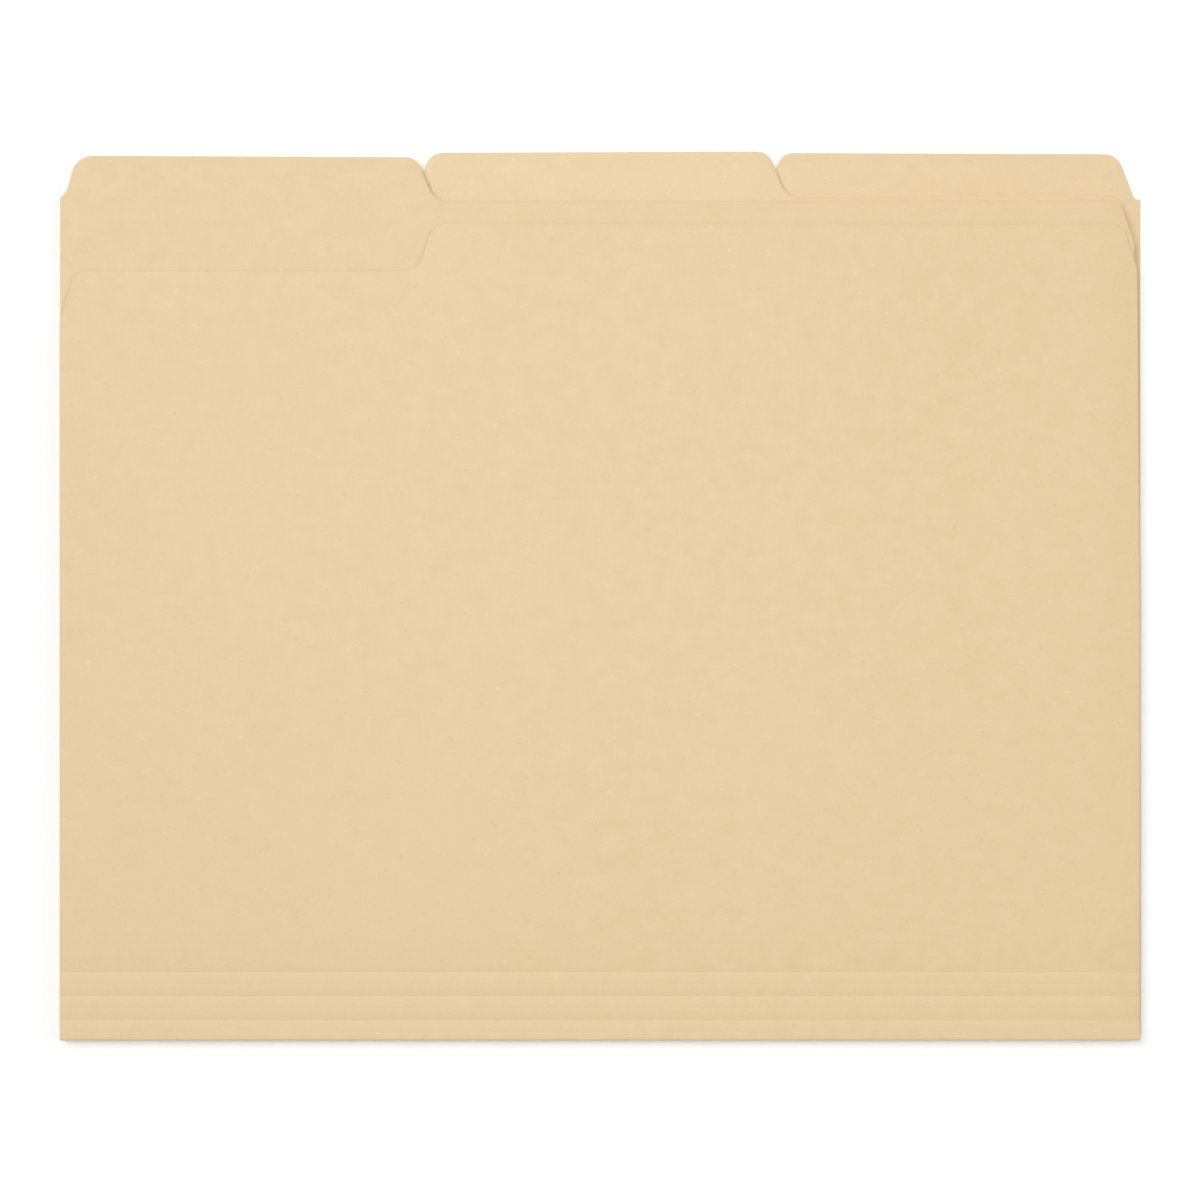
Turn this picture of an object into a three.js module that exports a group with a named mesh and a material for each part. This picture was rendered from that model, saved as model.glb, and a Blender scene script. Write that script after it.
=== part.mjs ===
import * as THREE from 'three';

// Three letter-size file folders of manila card, with left, centre and right tabs, lying closed in a
// stack: the right-tab folder at the bottom, the left-tab folder on top. Millimetres, +Z up. X runs
// along the folds, Y from the folds to the tabs. The origin is under the middle of the stack.

// Card and stack
const sheetWidth = 295.3; // 11 5/8 in
const cardThickness = 0.28; // 11 point stock
const leafGap = 0.6; // between the two leaves of a closed folder
const stackGap = 0.4; // between one folder and the next
const seam = 0.3; // between panels that a crease divides

// Front leaf, measured from the fold
const frontHeight = 222.9;
const frontFall = 0.3; // how far its top falls from left to right
const undercutDepth = 13.0; // the front leaf is cut lower below its own tab
const frontTaper = 0.7; // how far its right edge leans in by the top
const firstScore = 4.9;
const scorePitch = 6.6;
const scoreCount = 3;

// Back leaf, tabs and corners
const backHeight = 228.9; // from the fold to the shoulders beside the tab, about 9 in
const tabWidth = 97.4; // a third of the sheet, between the middles of its flanks
const endTabWidth = 97.0; // the right tab's
const tabHeight = 12.6; // above the shoulder, at the middle of the tab
const edgeInset = 2.7; // from the sheet's edge to the outer flank of the left tab
const endInset = 4.0; // from the sheet's edge to the outer flank of the right tab
const endDrop = 0.9; // how far the left tab's outer flank runs on below the shoulder
const backTaper = 1.3; // how far the right edge leans in by the top where it carries no tab

// Both leaves
const taperFrom = 120; // a leaning edge is straight up to here
const leftDrop = 13.8; // from a leaf's top to where its corner's flank meets the edge
const rightDrop = 12.15;

// Each cut steps down by a round crown, a straight flank at an angle to the edge, and a round foot
const tabStep = { crown: 4.7, foot: 6.7, angle: 68.5 };
const endStep = { crown: 5.2, foot: 1.0, angle: 68.5 };
const edgeStep = { crown: 5.8, foot: 6.7, angle: 75 };
const cutStep = { crown: 5.8, foot: 4.6, angle: 70.7 };
const cornerStep = { crown: 4.3, foot: 0, angle: 72.2 }; // its flank runs out to the sheet's edge
const arcSteps = 7;
const bendSteps = 16;

// From the bottom of the stack up. trim is how much higher than the nominal one a sheet's shoulder is
// at its edges, dip how far it falls towards the tab, tabLean how much the tab's top rises from left
// to right, inset how far the fold lies inside the edge of the stack, and shift how far the folder
// lies to the right.
const folders = [
  {
    name: 'right_tab',
    tab: 1,
    inset: 1.4,
    shift: 0.8,
    trim: -0.45,
    dip: 0,
    tabLean: -0.3,
    tint: 0xe9cf9f,
  },
  {
    name: 'centre_tab',
    tab: 0,
    inset: 0,
    shift: 0,
    trim: 1.7,
    dip: 0.6,
    tabLean: 0.3,
    tint: 0xebd2a4,
  },
  {
    name: 'left_tab',
    tab: -1,
    inset: 0,
    shift: 0,
    trim: 0.4,
    dip: 0.7,
    tabLean: -0.4,
    tint: 0xedd5a9,
  },
];

const half = sheetWidth / 2;
const folderThickness = 2 * cardThickness + leafGap;
const stackPitch = folderThickness + stackGap;
const scoreLines = Array.from({ length: scoreCount }, (_, i) => firstScore + i * scorePitch);
const lastScore = scoreLines[scoreCount - 1];

// The points of one step from its crown to its foot. x is the middle of the flank, and side is 1
// where the step falls towards +X. The foot ends at the sheet's edge if it meets that first, and a
// low step has smaller rounds.
function stepDown({ cut, x, high, low, side, edge }) {
  const angle = THREE.MathUtils.degToRad(cut.angle);
  const fall = 1 - Math.cos(angle);
  const ease = Math.min(1, (0.96 * (high - low)) / ((cut.crown + cut.foot) * fall));
  const crown = cut.crown * ease;
  const foot = cut.foot * ease;
  const run = (high - low) / Math.tan(angle);
  const reach = Math.tan(angle / 2);
  const crownX = -run / 2 - crown * reach;
  const footX = run / 2 + foot * reach;
  const room = edge === undefined ? Infinity : Math.abs(edge - x);
  const footEnd =
    room < footX ? 2 * Math.PI - Math.acos(Math.max(-1, (room - footX) / foot)) : 1.5 * Math.PI;
  const points = [];
  for (let i = 0; i <= arcSteps; i += 1) {
    const a = Math.PI / 2 - (angle * i) / arcSteps;
    points.push([crownX + crown * Math.cos(a), high - crown + crown * Math.sin(a)]);
  }
  for (let i = 0; i <= arcSteps && foot > 0; i += 1) {
    const a = THREE.MathUtils.lerp(1.5 * Math.PI - angle, footEnd, i / arcSteps);
    points.push([footX + foot * Math.cos(a), low + foot + foot * Math.sin(a)]);
  }
  if (foot === 0) points.push([footX, low]);
  if (room > footX && room < Infinity) points.push([room, low]);
  return points.map(([u, v]) => new THREE.Vector2(x + side * u, v));
}

// The step at a leaf's upper corner, whose flank meets the edge a drop lower
function corner(high, drop, edge) {
  const side = Math.sign(edge);
  const run = drop / Math.tan(THREE.MathUtils.degToRad(cornerStep.angle));
  return { cut: cornerStep, x: edge - (side * run) / 2, high, low: high - drop, side };
}

// A leaf's outline from its lower left corner, over its steps from left to right, to its lower right
function outline(bottom, steps, leaning) {
  const top = steps.flatMap((step) => (step.side > 0 ? stepDown(step) : stepDown(step).reverse()));
  if (leaning) top.push(new THREE.Vector2(half, taperFrom));
  const corners = [new THREE.Vector2(-half, bottom), ...top, new THREE.Vector2(half, bottom)];
  return new THREE.Shape(corners);
}

// Where the middles of a tab's two flanks are
function tabFlanks(tab) {
  if (tab < 0) return [-half + edgeInset, -half + edgeInset + tabWidth];
  if (tab > 0) return [half - endInset - endTabWidth, half - endInset];
  return [-tabWidth / 2, tabWidth / 2];
}

function backOutline({ tab, trim, dip, tabLean }) {
  const [left, right] = tabFlanks(tab);
  const shoulder = backHeight + trim;
  const tabFoot = shoulder - dip;
  const topAtLeft = tabFoot + tabHeight - tabLean / 2;
  const topAtRight = tabFoot + tabHeight + tabLean / 2;
  const tabEnd = shoulder - endDrop;
  const steps = [];
  if (tab < 0) {
    steps.push({ cut: edgeStep, x: left, high: topAtLeft, low: tabEnd, side: -1, edge: -half });
  } else {
    steps.push(corner(shoulder, leftDrop, -half));
    steps.push({ cut: tabStep, x: left, high: topAtLeft, low: tabFoot, side: -1 });
  }
  if (tab > 0) {
    steps.push({ cut: endStep, x: right, high: topAtRight, low: shoulder, side: 1, edge: half });
  } else {
    steps.push({ cut: tabStep, x: right, high: topAtRight, low: tabFoot, side: 1 });
    steps.push(corner(shoulder, rightDrop, half - backTaper));
  }
  return outline(seam, steps, tab <= 0);
}

function frontOutline({ tab }) {
  const [left, right] = tabFlanks(tab);
  const low = frontHeight - undercutDepth;
  const highAtLeft = tab < 0 ? low : frontHeight;
  const highAtRight = tab > 0 ? low : frontHeight - frontFall;
  const steps = [corner(highAtLeft, leftDrop, -half)];
  if (tab >= 0) {
    steps.push({ cut: cutStep, x: left, high: frontHeight, low, side: 1 });
  }
  if (tab <= 0) {
    steps.push({ cut: cutStep, x: right, high: frontHeight, low, side: -1 });
  }
  steps.push(corner(highAtRight, rightDrop, half - frontTaper));
  return outline(lastScore + seam / 2, steps, true);
}

// The strip between two creases
function stripOutline(index) {
  const low = index === 0 ? seam : scoreLines[index - 1] + seam / 2;
  const high = scoreLines[index] - seam / 2;
  const corners = [[-half, low], [half, low], [half, high], [-half, high]];
  return new THREE.Shape(corners.map(([x, y]) => new THREE.Vector2(x, y)));
}

// The card where it turns over at the fold: a half tube round the fold's axis
function foldGeometry() {
  const section = new THREE.Shape();
  section.absarc(0, 0, leafGap / 2 + cardThickness, Math.PI / 2, 1.5 * Math.PI, false);
  section.absarc(0, 0, leafGap / 2, 1.5 * Math.PI, Math.PI / 2, true);
  const geometry = new THREE.ExtrudeGeometry(section, {
    depth: sheetWidth,
    bevelEnabled: false,
    curveSegments: bendSteps,
  });
  const toFold = new THREE.Matrix4().makeBasis(
    new THREE.Vector3(0, 1, 0),
    new THREE.Vector3(0, 0, 1),
    new THREE.Vector3(1, 0, 0),
  );
  return geometry.applyMatrix4(toFold).translate(-half, 0, 0);
}

function panel(name, shape, z, material) {
  const geometry = new THREE.ExtrudeGeometry(shape, { depth: cardThickness, bevelEnabled: false });
  const mesh = new THREE.Mesh(geometry, material);
  mesh.name = name;
  mesh.position.z = z;
  return mesh;
}

function folder(cutting) {
  const material = new THREE.MeshStandardMaterial({
    color: cutting.tint,
    roughness: 0.85,
    metalness: 0,
  });
  const frontZ = cardThickness + leafGap;
  const group = new THREE.Group();
  group.add(panel(`${cutting.name}_back_leaf`, backOutline(cutting), 0, material));
  const fold = new THREE.Mesh(foldGeometry(), material);
  fold.name = `${cutting.name}_fold`;
  fold.position.z = folderThickness / 2;
  group.add(fold);
  scoreLines.forEach((_, i) => {
    group.add(panel(`${cutting.name}_strip_${i + 1}`, stripOutline(i), frontZ, material));
  });
  group.add(panel(`${cutting.name}_front_leaf`, frontOutline(cutting), frontZ, material));
  return group;
}

const stack = new THREE.Group();
folders.forEach((cutting, i) => {
  const group = folder(cutting);
  group.position.set(cutting.shift, cutting.inset, i * stackPitch);
  stack.add(group);
});

// The middle of the stack goes over the origin
const middle = new THREE.Box3().setFromObject(stack).getCenter(new THREE.Vector3());
stack.position.set(-middle.x, -middle.y, 0);

export default stack;
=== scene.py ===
import math

import bmesh
import bpy
from mathutils import Matrix, Vector
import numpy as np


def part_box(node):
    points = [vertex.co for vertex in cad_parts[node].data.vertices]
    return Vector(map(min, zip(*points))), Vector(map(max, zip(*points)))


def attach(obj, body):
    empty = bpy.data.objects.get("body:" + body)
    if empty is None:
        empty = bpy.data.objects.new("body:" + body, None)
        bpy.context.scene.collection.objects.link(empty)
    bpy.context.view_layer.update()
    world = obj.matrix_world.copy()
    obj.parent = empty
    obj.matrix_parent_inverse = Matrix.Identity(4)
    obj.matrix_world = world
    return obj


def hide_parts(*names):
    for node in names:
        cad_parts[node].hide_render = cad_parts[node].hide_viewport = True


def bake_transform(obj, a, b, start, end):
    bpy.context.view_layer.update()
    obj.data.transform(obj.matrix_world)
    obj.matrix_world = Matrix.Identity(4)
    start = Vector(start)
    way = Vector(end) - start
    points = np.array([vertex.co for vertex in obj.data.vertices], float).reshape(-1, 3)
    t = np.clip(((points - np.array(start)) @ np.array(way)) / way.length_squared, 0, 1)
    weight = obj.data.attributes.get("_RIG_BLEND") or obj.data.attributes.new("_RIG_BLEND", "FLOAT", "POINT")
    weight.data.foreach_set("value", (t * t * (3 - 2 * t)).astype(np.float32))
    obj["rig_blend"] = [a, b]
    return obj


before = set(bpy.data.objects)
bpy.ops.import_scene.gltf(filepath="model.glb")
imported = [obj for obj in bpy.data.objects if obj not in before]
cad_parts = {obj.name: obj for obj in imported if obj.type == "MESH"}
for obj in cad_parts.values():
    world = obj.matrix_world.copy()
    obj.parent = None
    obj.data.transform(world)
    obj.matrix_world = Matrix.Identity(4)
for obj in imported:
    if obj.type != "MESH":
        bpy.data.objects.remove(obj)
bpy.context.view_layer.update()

# Three letter-size manila file folders lying closed in a stack, seen from straight above.
# Every sheet is drawn in millimetres from its own fold line, then scaled and laid in its place.
mm = 0.001

# The card all three folders are cut from
cardStock = {
    "width": 295.3,
    "thickness": 0.28,
    "leafGap": 0.6,  # between the two leaves of a closed folder
    "panelSeam": 0.3,  # what the CAD leaves open at each crease
    "edgeRound": 0.08,  # the die crushes the arris
    "rollWidth": 0.50,  # and draws the face down a little beside the cut
    "rollDepth": 0.07,
    "rollFrom": 3.0,  # above the fold, where the dip has reached its depth
    "cutLineStep": 11.9,  # spacing of the cross cuts that let a sheet bend
    "sharpFrom": 15.0,  # degrees, the least turn that stays a hard edge
}
halfWidth = cardStock["width"] / 2
bendAxis = cardStock["thickness"] + cardStock["leafGap"] / 2  # above a folder's underside


def hexToLinear(code):
    # An sRGB hex colour as the linear RGBA that shader sockets take
    channels = [int(code[i:i + 2], 16) / 255 for i in (1, 3, 5)]
    return [c / 12.92 if c <= 0.04045 else ((c + 0.055) / 1.055) ** 2.4 for c in channels] + [1.0]


def addNode(tree, kind, settings=None, links=None):
    # A node with its settings and its incoming links, by property or by the socket's name or number
    node = tree.nodes.new(kind)
    for name, value in (settings or {}).items():
        if isinstance(name, str) and hasattr(node, name):
            setattr(node, name, value)
        else:
            node.inputs[name].default_value = value
    for name, source in (links or {}).items():
        tree.links.new(source, node.inputs[name])
    return node


def newMaterial(name):
    made = bpy.data.materials.new(name)
    made.use_nodes = True
    made.node_tree.nodes.clear()
    return made, made.node_tree


print("stage 1: card finishes")

# Manila card: hot-pressed, buff-dyed wood pulp. The eye gets a warm matt face with a faint calender
# sheen, cloudy pulp, short pale and brown fibres, and the odd bark speck.
manilaFinish = {
    "right_tab": {"buff": "#ECD1A6", "cloud": "#E9CC9E", "shift": (31.0, 12.0, 3.0)},
    "centre_tab": {"buff": "#EDD2A8", "cloud": "#EACDA0", "shift": (-57.0, 44.0, 9.0)},
    "left_tab": {"buff": "#E9CEA2", "cloud": "#E6C99A", "shift": (8.0, -73.0, 17.0)},
    "paleFibre": "#F6E9CC",
    "brownFibre": "#C6A473",
    "speck": "#86663C",
    "cloudSize": 4.5,  # mm, floc of the pulp
    "cloudRange": (0.36, 0.64),  # the part of the noise that runs from one tone to the other
    "driftSize": 70.0,  # mm, uneven dye along the web
    "fibreCurl": 2.2,  # mm, how far a fibre wanders
    "fibreWidth": 0.016,  # share of the curl: real ones are 0.03 mm, drawn twice as wide to show
    "fibreRuns": (0.54, 0.62),  # where a fibre starts to show, and where it shows in full
    "paleShare": 0.30,  # how much of its own colour a fibre has
    "brownShare": 0.26,
    "speckSpacing": 9.0,  # mm
    "speckRadius": (0.012, 0.026),  # shares of the spacing, heart and rim
    "speckRarity": 0.74,  # share of the cells without one
    "speckShare": 0.45,
    "grainSize": 0.42,  # mm, felt marks, drawn twice as coarse as real ones to show
    "fibreRaise": 0.35,  # a fibre's height, as a share of the grain's
    "faceBump": {"Strength": 0.30, "Distance": 0.00006},
    "roughness": 0.44,
    "glossRange": (-0.05, 0.06),
    "cutCore": "#F4E8CC",  # undyed core that the die lays bare
    "cutShade": "#E4D0A8",
    "cutFuzz": 0.5,  # mm, tufts of torn pulp
    "cutBump": {"Strength": 0.5, "Distance": 0.00008},
}


def makeManilaFace(name, tones):
    made, tree = newMaterial(name)
    out = addNode(tree, "ShaderNodeOutputMaterial")
    place = addNode(tree, "ShaderNodeTexCoord")
    # Object space is metres, so 1000 turns it to millimetres
    inMm = addNode(tree, "ShaderNodeMapping",
                   {"Scale": (1000, 1000, 1000), "Location": tones["shift"]},
                   {"Vector": place.outputs["Object"]}).outputs["Vector"]
    cloud = addNode(tree, "ShaderNodeTexNoise",
                    {"Scale": 1 / manilaFinish["cloudSize"], "Detail": 5.0, "Roughness": 0.62},
                    {"Vector": inMm})
    lowCloud, highCloud = manilaFinish["cloudRange"]
    cloudShare = addNode(tree, "ShaderNodeMapRange", {1: lowCloud, 2: highCloud},
                         {0: cloud.outputs["Fac"]})
    drift = addNode(tree, "ShaderNodeTexNoise",
                    {"Scale": 1 / manilaFinish["driftSize"], "Detail": 1.0}, {"Vector": inMm})
    mottle = addNode(tree, "ShaderNodeMath", {"operation": "MULTIPLY"},
                     {0: cloudShare.outputs[0], 1: drift.outputs["Fac"]})
    pulp = addNode(tree, "ShaderNodeMix",
                   {"data_type": "RGBA", 6: hexToLinear(tones["buff"]),
                    7: hexToLinear(tones["cloud"])}, {0: mottle.outputs[0]})
    # Fibres are thin bands where a wandering noise crosses its middle value, broken into short runs
    colour = pulp.outputs[2]
    firstRun, fullRun = manilaFinish["fibreRuns"]
    for fibre, curl, share in (("paleFibre", 1.0, "paleShare"), ("brownFibre", 1.37, "brownShare")):
        wander = addNode(tree, "ShaderNodeTexNoise",
                         {"Scale": curl / manilaFinish["fibreCurl"], "Detail": 1.5,
                          "Distortion": 0.9}, {"Vector": inMm})
        offMiddle = addNode(tree, "ShaderNodeMath", {"operation": "SUBTRACT", 1: 0.5},
                            {0: wander.outputs["Fac"]})
        away = addNode(tree, "ShaderNodeMath", {"operation": "ABSOLUTE"},
                       {0: offMiddle.outputs[0]})
        line = addNode(tree, "ShaderNodeMapRange",
                       {1: 0.0, 2: manilaFinish["fibreWidth"], 3: 1.0, 4: 0.0},
                       {0: away.outputs[0]})
        patch = addNode(tree, "ShaderNodeTexNoise",
                        {"Scale": 1.9 * curl / manilaFinish["fibreCurl"], "Detail": 0.0},
                        {"Vector": inMm})
        runs = addNode(tree, "ShaderNodeMapRange", {1: firstRun, 2: fullRun},
                       {0: patch.outputs["Fac"]})
        shown = addNode(tree, "ShaderNodeMath", {"operation": "MULTIPLY"},
                        {0: line.outputs[0], 1: runs.outputs[0]})
        tint = addNode(tree, "ShaderNodeMath", {"operation": "MULTIPLY", 1: manilaFinish[share]},
                       {0: shown.outputs[0]})
        laid = addNode(tree, "ShaderNodeMix",
                       {"data_type": "RGBA", 7: hexToLinear(manilaFinish[fibre])},
                       {0: tint.outputs[0], 6: colour})
        colour = laid.outputs[2]
        if fibre == "paleFibre":  # only these stand up from the face
            paleRaised = shown.outputs[0]
    # Bark specks: a dot in about one cell in four
    cells = addNode(tree, "ShaderNodeTexVoronoi", {"Scale": 1 / manilaFinish["speckSpacing"]},
                    {"Vector": inMm})
    heart, rim = manilaFinish["speckRadius"]
    dot = addNode(tree, "ShaderNodeMapRange",
                  {1: heart, 2: rim, 3: manilaFinish["speckShare"], 4: 0.0},
                  {0: cells.outputs["Distance"]})
    chance = addNode(tree, "ShaderNodeSeparateColor", None, {0: cells.outputs["Color"]})
    chosen = addNode(tree, "ShaderNodeMath",
                     {"operation": "GREATER_THAN", 1: manilaFinish["speckRarity"]},
                     {0: chance.outputs[0]})
    dots = addNode(tree, "ShaderNodeMath", {"operation": "MULTIPLY"},
                   {0: dot.outputs[0], 1: chosen.outputs[0]})
    specked = addNode(tree, "ShaderNodeMix",
                      {"data_type": "RGBA", 7: hexToLinear(manilaFinish["speck"])},
                      {0: dots.outputs[0], 6: colour})
    # Felt grain and the raised pale fibres
    grain = addNode(tree, "ShaderNodeTexNoise",
                    {"Scale": 1 / manilaFinish["grainSize"], "Detail": 3.0, "Roughness": 0.6},
                    {"Vector": inMm})
    relief = addNode(tree, "ShaderNodeMath",
                     {"operation": "MULTIPLY_ADD", 1: manilaFinish["fibreRaise"]},
                     {0: paleRaised, 2: grain.outputs["Fac"]})
    bump = addNode(tree, "ShaderNodeBump", manilaFinish["faceBump"],
                   {"Height": relief.outputs[0]})
    low, high = (manilaFinish["roughness"] + off for off in manilaFinish["glossRange"])
    gloss = addNode(tree, "ShaderNodeMapRange", {3: low, 4: high}, {0: cloud.outputs["Fac"]})
    shader = addNode(tree, "ShaderNodeBsdfPrincipled", {"IOR": 1.5},
                     {"Base Color": specked.outputs[2], "Roughness": gloss.outputs[0],
                      "Normal": bump.outputs[0]})
    tree.links.new(shader.outputs[0], out.inputs["Surface"])
    return made


def makeManilaCut(name):
    # Die-cut manila edge: torn pulp without dye or calendering, so paler, drier and fuzzy
    made, tree = newMaterial(name)
    out = addNode(tree, "ShaderNodeOutputMaterial")
    place = addNode(tree, "ShaderNodeTexCoord")
    # Millimetres again, with the tufts pressed to a third of their size through the thickness
    inMm = addNode(tree, "ShaderNodeMapping", {"Scale": (1000, 1000, 3000)},
                   {"Vector": place.outputs["Object"]}).outputs["Vector"]
    fuzz = addNode(tree, "ShaderNodeTexNoise",
                   {"Scale": 1 / manilaFinish["cutFuzz"], "Detail": 4.0, "Roughness": 0.7},
                   {"Vector": inMm})
    pulp = addNode(tree, "ShaderNodeMix",
                   {"data_type": "RGBA", 6: hexToLinear(manilaFinish["cutShade"]),
                    7: hexToLinear(manilaFinish["cutCore"])}, {0: fuzz.outputs["Fac"]})
    bump = addNode(tree, "ShaderNodeBump", manilaFinish["cutBump"],
                   {"Height": fuzz.outputs["Fac"]})
    shader = addNode(tree, "ShaderNodeBsdfPrincipled", {"IOR": 1.5, "Roughness": 0.9},
                     {"Base Color": pulp.outputs[2], "Normal": bump.outputs[0]})
    tree.links.new(shader.outputs[0], out.inputs["Surface"])
    return made


manilaCut = makeManilaCut("die_cut_manila_core")
manilaFaces = {folder: makeManilaFace("manila_card_" + folder, manilaFinish[folder])
               for folder in ("right_tab", "centre_tab", "left_tab")}

print("stage 2: die-cut sheets")

# The cuts of the die, each a round crown, a straight flank and a round foot
dieCuts = {
    "tab": {"crown": 4.7, "foot": 6.7, "angle": 68.5},
    "tabEnd": {"crown": 5.2, "foot": 1.0, "angle": 68.5},
    "tabEdge": {"crown": 5.8, "foot": 6.7, "angle": 75.0},
    "undercut": {"crown": 5.8, "foot": 4.6, "angle": 70.7},
    "corner": {"crown": 4.3, "foot": 0.0, "angle": 72.2},  # its flank runs out to the edge
    "arcSteps": 10,
    "roundShare": 0.96,  # the most of a low step's height that its rounds take up
}


def drawLine(bm, pen, x, y):
    made = bmesh.ops.extrude_vert_indiv(bm, verts=[pen])["verts"][0]
    made.co = (x, y, 0)
    return made


def drawArc(bm, pen, centreX, centreY, turn):
    # Swings the pen round a centre, counter-clockwise where turn is positive
    swung = bmesh.ops.spin(bm, geom=[pen], cent=(centreX, centreY, 0), axis=(0, 0, 1),
                           dvec=(0, 0, 0), angle=turn, steps=dieCuts["arcSteps"],
                           use_merge=False, use_duplicate=False)
    return next(v for v in swung["geom_last"] if isinstance(v, bmesh.types.BMVert))


def drawStep(bm, pen, cut, x, high, low, side, edge=None):
    # One step of the die line about x, the middle of its flank. side is 1 where it falls to the right.
    # Its foot stops at the sheet's edge if it meets that first.
    angle = math.radians(cut["angle"])
    rounds = (cut["crown"] + cut["foot"]) * (1 - math.cos(angle))
    ease = min(1, dieCuts["roundShare"] * (high - low) / rounds)
    crown, foot = cut["crown"] * ease, cut["foot"] * ease
    run, reach = (high - low) / math.tan(angle), math.tan(angle / 2)
    crownX, footX = -run / 2 - crown * reach, run / 2 + foot * reach
    room = math.inf if edge is None else abs(edge - x)
    footStart = 1.5 * math.pi - angle
    footEnd = 1.5 * math.pi
    if room < footX:
        footEnd = 2 * math.pi - math.acos(max(-1, (room - footX) / foot))

    def footPoint(a):
        return x + side * (footX + foot * math.cos(a)), low + foot + foot * math.sin(a)

    flankTop = (x + side * (crownX + crown * math.sin(angle)),
                high - crown + crown * math.cos(angle))
    if side > 0:
        pen = drawLine(bm, pen, x + crownX, high)
        pen = drawArc(bm, pen, x + crownX, high - crown, -angle)
        pen = drawLine(bm, pen, *footPoint(footStart))
        pen = drawArc(bm, pen, x + footX, low + foot, footEnd - footStart) if foot else pen
        return drawLine(bm, pen, edge, low) if footX < room < math.inf else pen
    if footX < room < math.inf:
        pen = drawLine(bm, pen, edge, low)
    pen = drawLine(bm, pen, *footPoint(footEnd))
    pen = drawArc(bm, pen, x - footX, low + foot, footEnd - footStart) if foot else pen
    pen = drawLine(bm, pen, *flankTop)
    return drawArc(bm, pen, x - crownX, high - crown, -angle)


def cornerStep(high, drop, edge):
    # The step at a leaf's upper corner, whose flank meets the edge a drop lower
    side = math.copysign(1, edge)
    run = drop / math.tan(math.radians(dieCuts["corner"]["angle"]))
    return {"cut": dieCuts["corner"], "x": edge - side * run / 2, "high": high,
            "low": high - drop, "side": side}


eitherLeaf = {
    "taperFrom": 120.0,  # a leaning right edge is straight up to here
    "leftDrop": 13.8,  # from a leaf's top to where its corner's flank meets the edge
    "rightDrop": 12.15,
    "springsFrom": 20.0,  # up to here the crease holds the leaf flat
    "springsBy": 90.0,  # and this far on it lies as it likes
    "waveAcross": 295.0,  # what the waves of leafLie are counted over
    "waveUp": 240.0,
}


def cutSheet(steps, leaning):
    # A flat sheet from its fold line to its cut top, with its arrises crushed by the die
    bm = bmesh.new()
    first = bm.verts.new((-halfWidth, 0, 0))
    pen = first
    for step in steps:
        pen = drawStep(bm, pen, **step)
    if leaning:
        pen = drawLine(bm, pen, halfWidth, eitherLeaf["taperFrom"])
    pen = drawLine(bm, pen, halfWidth, 0)
    bmesh.ops.contextual_create(bm, geom=[pen, first])
    bmesh.ops.contextual_create(bm, geom=bm.edges[:])
    raised = bmesh.ops.extrude_face_region(bm, geom=bm.faces[:])["geom"]
    bmesh.ops.translate(bm, vec=(0, 0, cardStock["thickness"]),
                        verts=[v for v in raised if isinstance(v, bmesh.types.BMVert)])
    bmesh.ops.recalc_face_normals(bm, faces=bm.faces[:])
    rim = [f for f in bm.faces if abs(f.normal.z) < 0.5]
    for face in rim:
        face.material_index = 1
    arris = {e for f in rim for e in f.edges if abs(e.verts[0].co.z - e.verts[1].co.z) < 1e-6}
    arris = [e for e in arris if max(v.co.y for v in e.verts) > 1e-6]  # the fold end stays square
    bmesh.ops.bevel(bm, geom=arris, offset=cardStock["edgeRound"], offset_type="OFFSET",
                    segments=2, profile=0.5, affect="EDGES", material=-1, clamp_overlap=False)
    roll = bm.verts.layers.float.new("roll")
    for v in bm.verts:
        v[roll] = 1 if v.co.z > cardStock["thickness"] / 2 else 0
    upper = next(f for f in bm.faces if f.normal.z > 0.99)
    bmesh.ops.inset_region(bm, faces=[upper], thickness=cardStock["rollWidth"], depth=0,
                           use_boundary=True, use_even_offset=True)
    for v in upper.verts:
        v[roll] = 0
    return bm


def rollEdges(bm):
    # The face dips beside a cut, and not where the sheet turns over at the fold
    roll = bm.verts.layers.float["roll"]
    for v in bm.verts:
        share = min(1, max(0, v.co.y / cardStock["rollFrom"]))
        v.co.z -= cardStock["rollDepth"] * v[roll] * share
    bm.verts.layers.float.remove(roll)


def crossCut(bm, places, normal):
    # Cuts right across the sheet at each place along the normal
    for place in places:
        bmesh.ops.bisect_plane(bm, geom=bm.verts[:] + bm.edges[:] + bm.faces[:], dist=1e-5,
                               plane_co=Vector(normal) * place, plane_no=normal)


def spread(low, high, step):
    count = max(2, round((high - low) / step))
    return [low + (high - low) * i / count for i in range(1, count)]


def finishPiece(bm, name, nodes, faceMaterial, place):
    # Scales the sheet to metres, lays it in the stack and shades it
    bmesh.ops.scale(bm, vec=(mm, mm, mm), verts=bm.verts[:])
    bmesh.ops.translate(bm, vec=place, verts=bm.verts[:])
    mesh = bpy.data.meshes.new(name)
    bm.to_mesh(mesh)
    bm.free()
    mesh.materials.append(faceMaterial)
    mesh.materials.append(manilaCut)
    mesh.shade_smooth()
    mesh.set_sharp_from_angle(angle=math.radians(cardStock["sharpFrom"]))
    piece = bpy.data.objects.new(name, mesh)
    bpy.context.collection.objects.link(piece)
    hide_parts(*nodes)
    return piece


# What the three sheets differ in, from the bottom of the stack up. trim is how far a sheet's shoulder
# is off the nominal height, dip how far it falls towards the tab, and lean how much the tab's top
# rises to the right.
folderCuts = {
    "right_tab": {"tab": 1, "trim": -0.45, "dip": 0.0, "lean": -0.3},
    "centre_tab": {"tab": 0, "trim": 1.7, "dip": 0.6, "lean": 0.3},
    "left_tab": {"tab": -1, "trim": 0.4, "dip": 0.7, "lean": -0.4},
}
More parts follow.
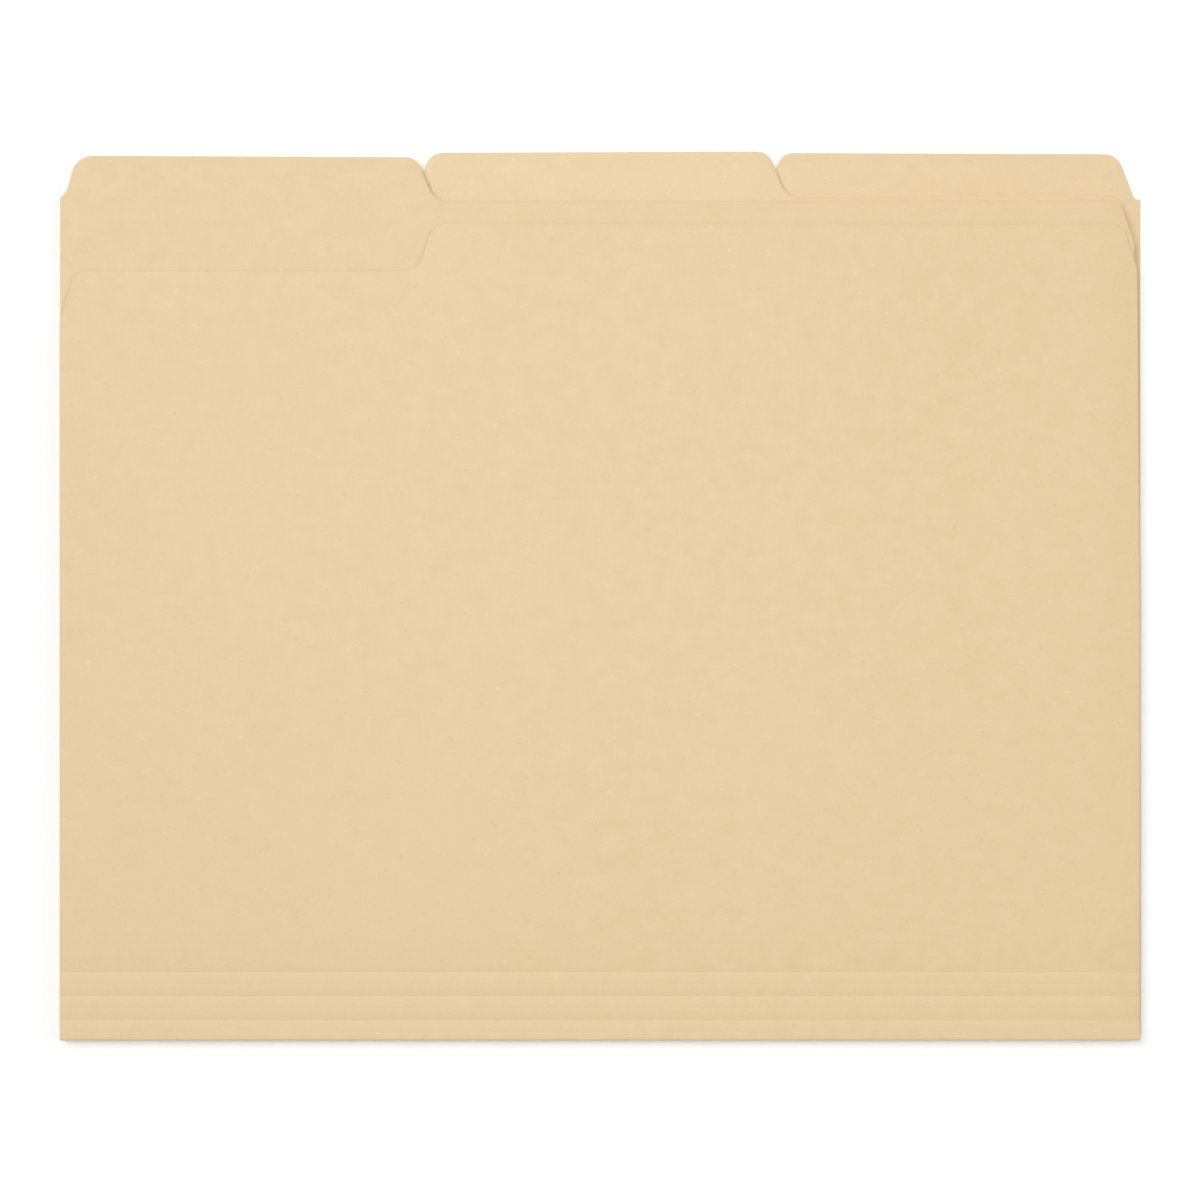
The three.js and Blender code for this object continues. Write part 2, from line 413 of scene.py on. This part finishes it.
# How the leaves lie: heights in mm over the flat sheet, as (size, waves across, waves up, turn)
leafLie = {
    "right_tab_back": [(0.03, 0.5, 0.5, 0.4)],
    "right_tab_front": [(0.09, 0.8, 0.7, 1.1), (0.05, 1.7, 1.3, 2.6)],
    "centre_tab_back": [(0.06, 0.6, 0.8, 2.0), (0.03, 1.9, 0.9, 0.3)],
    "centre_tab_front": [(0.08, 0.9, 0.6, 3.9), (0.05, 1.5, 1.4, 5.0)],
    "left_tab_back": [(0.06, 0.7, 0.6, 5.2), (0.04, 1.6, 1.2, 1.7)],
    "left_tab_front": [(0.06, 0.7, 0.8, 4.4), (0.03, 1.4, 1.1, 0.9)],
}
backLeaf = {
    "height": 228.9,  # from the fold to the shoulders
    "taper": 1.3,  # how far the right edge leans in by the top
    "tabWidth": 97.4,  # between the middles of its flanks
    "endTabWidth": 97.0,  # the right tab's
    "tabHeight": 12.6,
    "edgeInset": 2.7,  # from the sheet's edge to the left tab's outer flank
    "endInset": 4.0,  # and to the right tab's
    "endDrop": 0.9,  # how far the left tab's outer flank runs on below the shoulder
}
frontLeaf = {
    "height": 222.9,
    "fall": 0.3,  # how far its top falls from left to right
    "undercut": 13.0,  # how much lower it is cut below its own tab
    "taper": 0.7,
    "scores": [4.9, 11.5, 18.1],  # from the fold
    "scoreDepth": 0.055,
    "scoreHalfWidth": 0.42,
    "scoreCuts": (-1, -0.6, -0.25, 0.25, 0.6, 1),  # cross cuts beside a score, in half widths
}


def tabFlanks(tab):
    # The middles of a tab's two flanks
    wide = backLeaf["tabWidth"]
    if tab < 0:
        return -halfWidth + backLeaf["edgeInset"], -halfWidth + backLeaf["edgeInset"] + wide
    if tab > 0:
        end = halfWidth - backLeaf["endInset"]
        return end - backLeaf["endTabWidth"], end
    return -wide / 2, wide / 2


def lieOfLeaf(waves, x, y):
    # Nothing near the fold, where the crease holds the sheet, and a gentle cockle beyond it
    share = min(1, max(0, (y - eitherLeaf["springsFrom"]) / eitherLeaf["springsBy"]))
    share = share * share * (3 - 2 * share)
    across, up = x / eitherLeaf["waveAcross"], y / eitherLeaf["waveUp"]
    return share * sum(size * math.sin(2 * math.pi * (alongX * across + alongY * up) + turn)
                       for size, alongX, alongY, turn in waves)


def placeOf(folder, height=0.0):
    # The middle of a folder's fold line, so many mm above its underside, from the CAD
    low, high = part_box(folder + "_back_leaf")
    return Vector(((low.x + high.x) / 2, low.y - cardStock["panelSeam"] * mm, low.z + height * mm))


def makeBackLeaf(folder):
    cuts = folderCuts[folder]
    left, right = tabFlanks(cuts["tab"])
    shoulder = backLeaf["height"] + cuts["trim"]
    tabFoot = shoulder - cuts["dip"]
    topLeft = tabFoot + backLeaf["tabHeight"] - cuts["lean"] / 2
    topRight = tabFoot + backLeaf["tabHeight"] + cuts["lean"] / 2
    steps = []
    if cuts["tab"] < 0:
        steps.append({"cut": dieCuts["tabEdge"], "x": left, "high": topLeft,
                      "low": shoulder - backLeaf["endDrop"], "side": -1, "edge": -halfWidth})
    else:
        steps.append(cornerStep(shoulder, eitherLeaf["leftDrop"], -halfWidth))
        steps.append({"cut": dieCuts["tab"], "x": left, "high": topLeft, "low": tabFoot, "side": -1})
    if cuts["tab"] > 0:
        steps.append({"cut": dieCuts["tabEnd"], "x": right, "high": topRight, "low": shoulder,
                      "side": 1, "edge": halfWidth})
    else:
        steps.append({"cut": dieCuts["tab"], "x": right, "high": topRight, "low": tabFoot, "side": 1})
        steps.append(cornerStep(shoulder, eitherLeaf["rightDrop"], halfWidth - backLeaf["taper"]))
    bm = cutSheet(steps, leaning=cuts["tab"] <= 0)
    crossCut(bm, spread(-halfWidth, halfWidth, cardStock["cutLineStep"]), (1, 0, 0))
    crossCut(bm, spread(0, shoulder, cardStock["cutLineStep"]), (0, 1, 0))
    rollEdges(bm)
    for v in bm.verts:
        lift = lieOfLeaf(leafLie[folder + "_back"], v.co.x, v.co.y)
        v.co.z += max(0, lift) if folder == "right_tab" else lift
    piece = finishPiece(bm, folder + "_back_sheet", [folder + "_back_leaf"],
                        manilaFaces[folder], placeOf(folder))
    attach(piece, folder + "_back")


def makeFrontLeaf(folder):
    cuts = folderCuts[folder]
    left, right = tabFlanks(cuts["tab"])
    high = frontLeaf["height"]
    low = high - frontLeaf["undercut"]
    highLeft = low if cuts["tab"] < 0 else high
    highRight = low if cuts["tab"] > 0 else high - frontLeaf["fall"]
    under = {"cut": dieCuts["undercut"], "high": high, "low": low}
    steps = [cornerStep(highLeft, eitherLeaf["leftDrop"], -halfWidth)]
    if cuts["tab"] >= 0:
        steps.append({**under, "x": left, "side": 1})
    if cuts["tab"] <= 0:
        steps.append({**under, "x": right, "side": -1})
    steps.append(cornerStep(highRight, eitherLeaf["rightDrop"], halfWidth - frontLeaf["taper"]))
    bm = cutSheet(steps, leaning=True)
    crossCut(bm, spread(-halfWidth, halfWidth, cardStock["cutLineStep"]), (1, 0, 0))
    halfScore = frontLeaf["scoreHalfWidth"]
    for score in frontLeaf["scores"]:
        crossCut(bm, [score + k * halfScore for k in frontLeaf["scoreCuts"]], (0, 1, 0))
    crossCut(bm, spread(frontLeaf["scores"][-1], high, cardStock["cutLineStep"]), (0, 1, 0))
    rollEdges(bm)
    for v in bm.verts:
        off = min(abs(v.co.y - s) for s in frontLeaf["scores"]) / halfScore
        if off < 1:  # the creasing rule presses a shallow rounded groove
            v.co.z -= frontLeaf["scoreDepth"] * 0.5 * (1 + math.cos(math.pi * off))
        v.co.z += lieOfLeaf(leafLie[folder + "_front"], v.co.x, v.co.y)
    nodes = [folder + "_front_leaf"] + [folder + "_strip_%d" % n for n in (1, 2, 3)]
    piece = finishPiece(bm, folder + "_front_sheet", nodes, manilaFaces[folder],
                        placeOf(folder, cardStock["thickness"] + cardStock["leafGap"]))
    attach(piece, folder + "_front")


foldBend = {"steps": 18}


def makeFold(folder):
    # The sheet's cross-section, swung half a turn round the fold's axis
    bm = bmesh.new()
    thick = cardStock["thickness"]
    bmesh.ops.create_grid(bm, x_segments=1, y_segments=1, size=1.0,
                          matrix=Matrix.Rotation(math.pi / 2, 4, "X"))
    for v in bm.verts:
        v.co = (halfWidth * (1 if v.co.x > 0 else -1), 0, thick if v.co.z > 0 else 0)
    bmesh.ops.bevel(bm, geom=bm.verts[:], offset=cardStock["edgeRound"], offset_type="OFFSET",
                    segments=2, profile=0.5, affect="VERTICES", material=-1)
    crossCut(bm, spread(-halfWidth, halfWidth, cardStock["cutLineStep"]), (1, 0, 0))
    bmesh.ops.spin(bm, geom=bm.faces[:] + bm.edges[:] + bm.verts[:], cent=(0, 0, bendAxis),
                   axis=(1, 0, 0), dvec=(0, 0, 0), angle=-math.pi, steps=foldBend["steps"],
                   use_merge=False, use_duplicate=False)
    bmesh.ops.remove_doubles(bm, verts=bm.verts[:], dist=1e-4)
    bmesh.ops.recalc_face_normals(bm, faces=bm.faces[:])
    for face in bm.faces:
        if abs(face.normal.x) > 0.2:
            face.material_index = 1
    piece = finishPiece(bm, folder + "_fold_bend", [folder + "_fold"], manilaFaces[folder],
                        placeOf(folder))
    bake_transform(piece, folder + "_back", folder + "_front", start=placeOf(folder, thick),
             end=placeOf(folder, thick + cardStock["leafGap"]))


for folder in folderCuts:
    makeBackLeaf(folder)
    makeFrontLeaf(folder)
    makeFold(folder)
    print("folder cut and folded:", folder)

print("stage 3: studio")

studio = {
    "sweepNear": 4.0,  # metres from the middle, in cells of a metre
    "sweepFar": 80.0,  # where the outer cells end, for low angles
    "sweepDrop": 0.00004,  # just clear of the stack's underside
    "floorWhite": 1.0,
    "floorGlow": 0.08,  # stands in for the photograph's burnt-out white
    "skyStrength": 0.31,
    "softBoxes": {  # metres and watts
        "window_side": {"place": (-2.83, 2.55, 7.00), "size": 6.40, "power": 339.0},
        "overhead": {"place": (0.02, 0.06, 1.15), "size": 0.45, "power": 2.3},
        "side_fill": {"place": (1.30, 0.25, 1.20), "size": 1.00, "power": 3.8},
    },
}


def makeFloor():
    bm = bmesh.new()
    bmesh.ops.create_grid(bm, x_segments=8, y_segments=8, size=studio["sweepNear"])
    grow = studio["sweepFar"] / studio["sweepNear"]
    bmesh.ops.scale(bm, vec=(grow, grow, 1), verts=[v for v in bm.verts if v.is_boundary])
    bmesh.ops.translate(bm, vec=(0, 0, -studio["sweepDrop"]), verts=bm.verts[:])
    mesh = bpy.data.meshes.new("paper_sweep")
    bm.to_mesh(mesh)
    bm.free()
    made, tree = newMaterial("white_paper_sweep")  # matt background paper
    out = addNode(tree, "ShaderNodeOutputMaterial")
    white = [studio["floorWhite"]] * 3 + [1.0]
    shader = addNode(tree, "ShaderNodeBsdfPrincipled",
                     {"Base Color": white, "Roughness": 1.0, "Specular IOR Level": 0.0,
                      "Emission Color": (1, 1, 1, 1), "Emission Strength": studio["floorGlow"]})
    tree.links.new(shader.outputs[0], out.inputs["Surface"])
    mesh.materials.append(made)
    floor = bpy.data.objects.new("paper_sweep", mesh)
    bpy.context.collection.objects.link(floor)


def makeSoftBox(name, place, size, power):
    # A round soft box that looks at the stack
    lamp = bpy.data.lights.new(name, "AREA")
    lamp.shape = "DISK"
    lamp.size = size
    lamp.energy = power
    box = bpy.data.objects.new(name, lamp)
    box.location = place
    box.rotation_euler = (-Vector(place)).to_track_quat("-Z", "Y").to_euler()
    bpy.context.collection.objects.link(box)


makeFloor()
for name, box in studio["softBoxes"].items():
    makeSoftBox(name, **box)

room = bpy.data.worlds.new("pale_room")
room.use_nodes = True
room.node_tree.nodes["Background"].inputs["Color"].default_value = (1, 1, 1, 1)
room.node_tree.nodes["Background"].inputs["Strength"].default_value = studio["skyStrength"]
bpy.context.scene.world = room
bpy.context.scene.view_settings.view_transform = "Standard"

# The photograph: straight down, 328 mm across at the top leaf
photoCamera = {
    "lens": 100.0,  # mm
    "sensor": 36.0,  # mm
    "frameWidth": 0.3280,
    "centre": (-0.00033, -0.001209),
    "topLeaf": 0.00428,  # height of the top folder's front
}
eye = bpy.data.cameras.new("copy_stand")
eye.lens = photoCamera["lens"]
eye.sensor_width = photoCamera["sensor"]
reach = photoCamera["lens"] / eye.sensor_width * photoCamera["frameWidth"]
stand = bpy.data.objects.new("copy_stand", eye)
stand.location = (*photoCamera["centre"], photoCamera["topLeaf"] + reach)
bpy.context.collection.objects.link(stand)
bpy.context.scene.camera = stand

print("stage 4: finished")
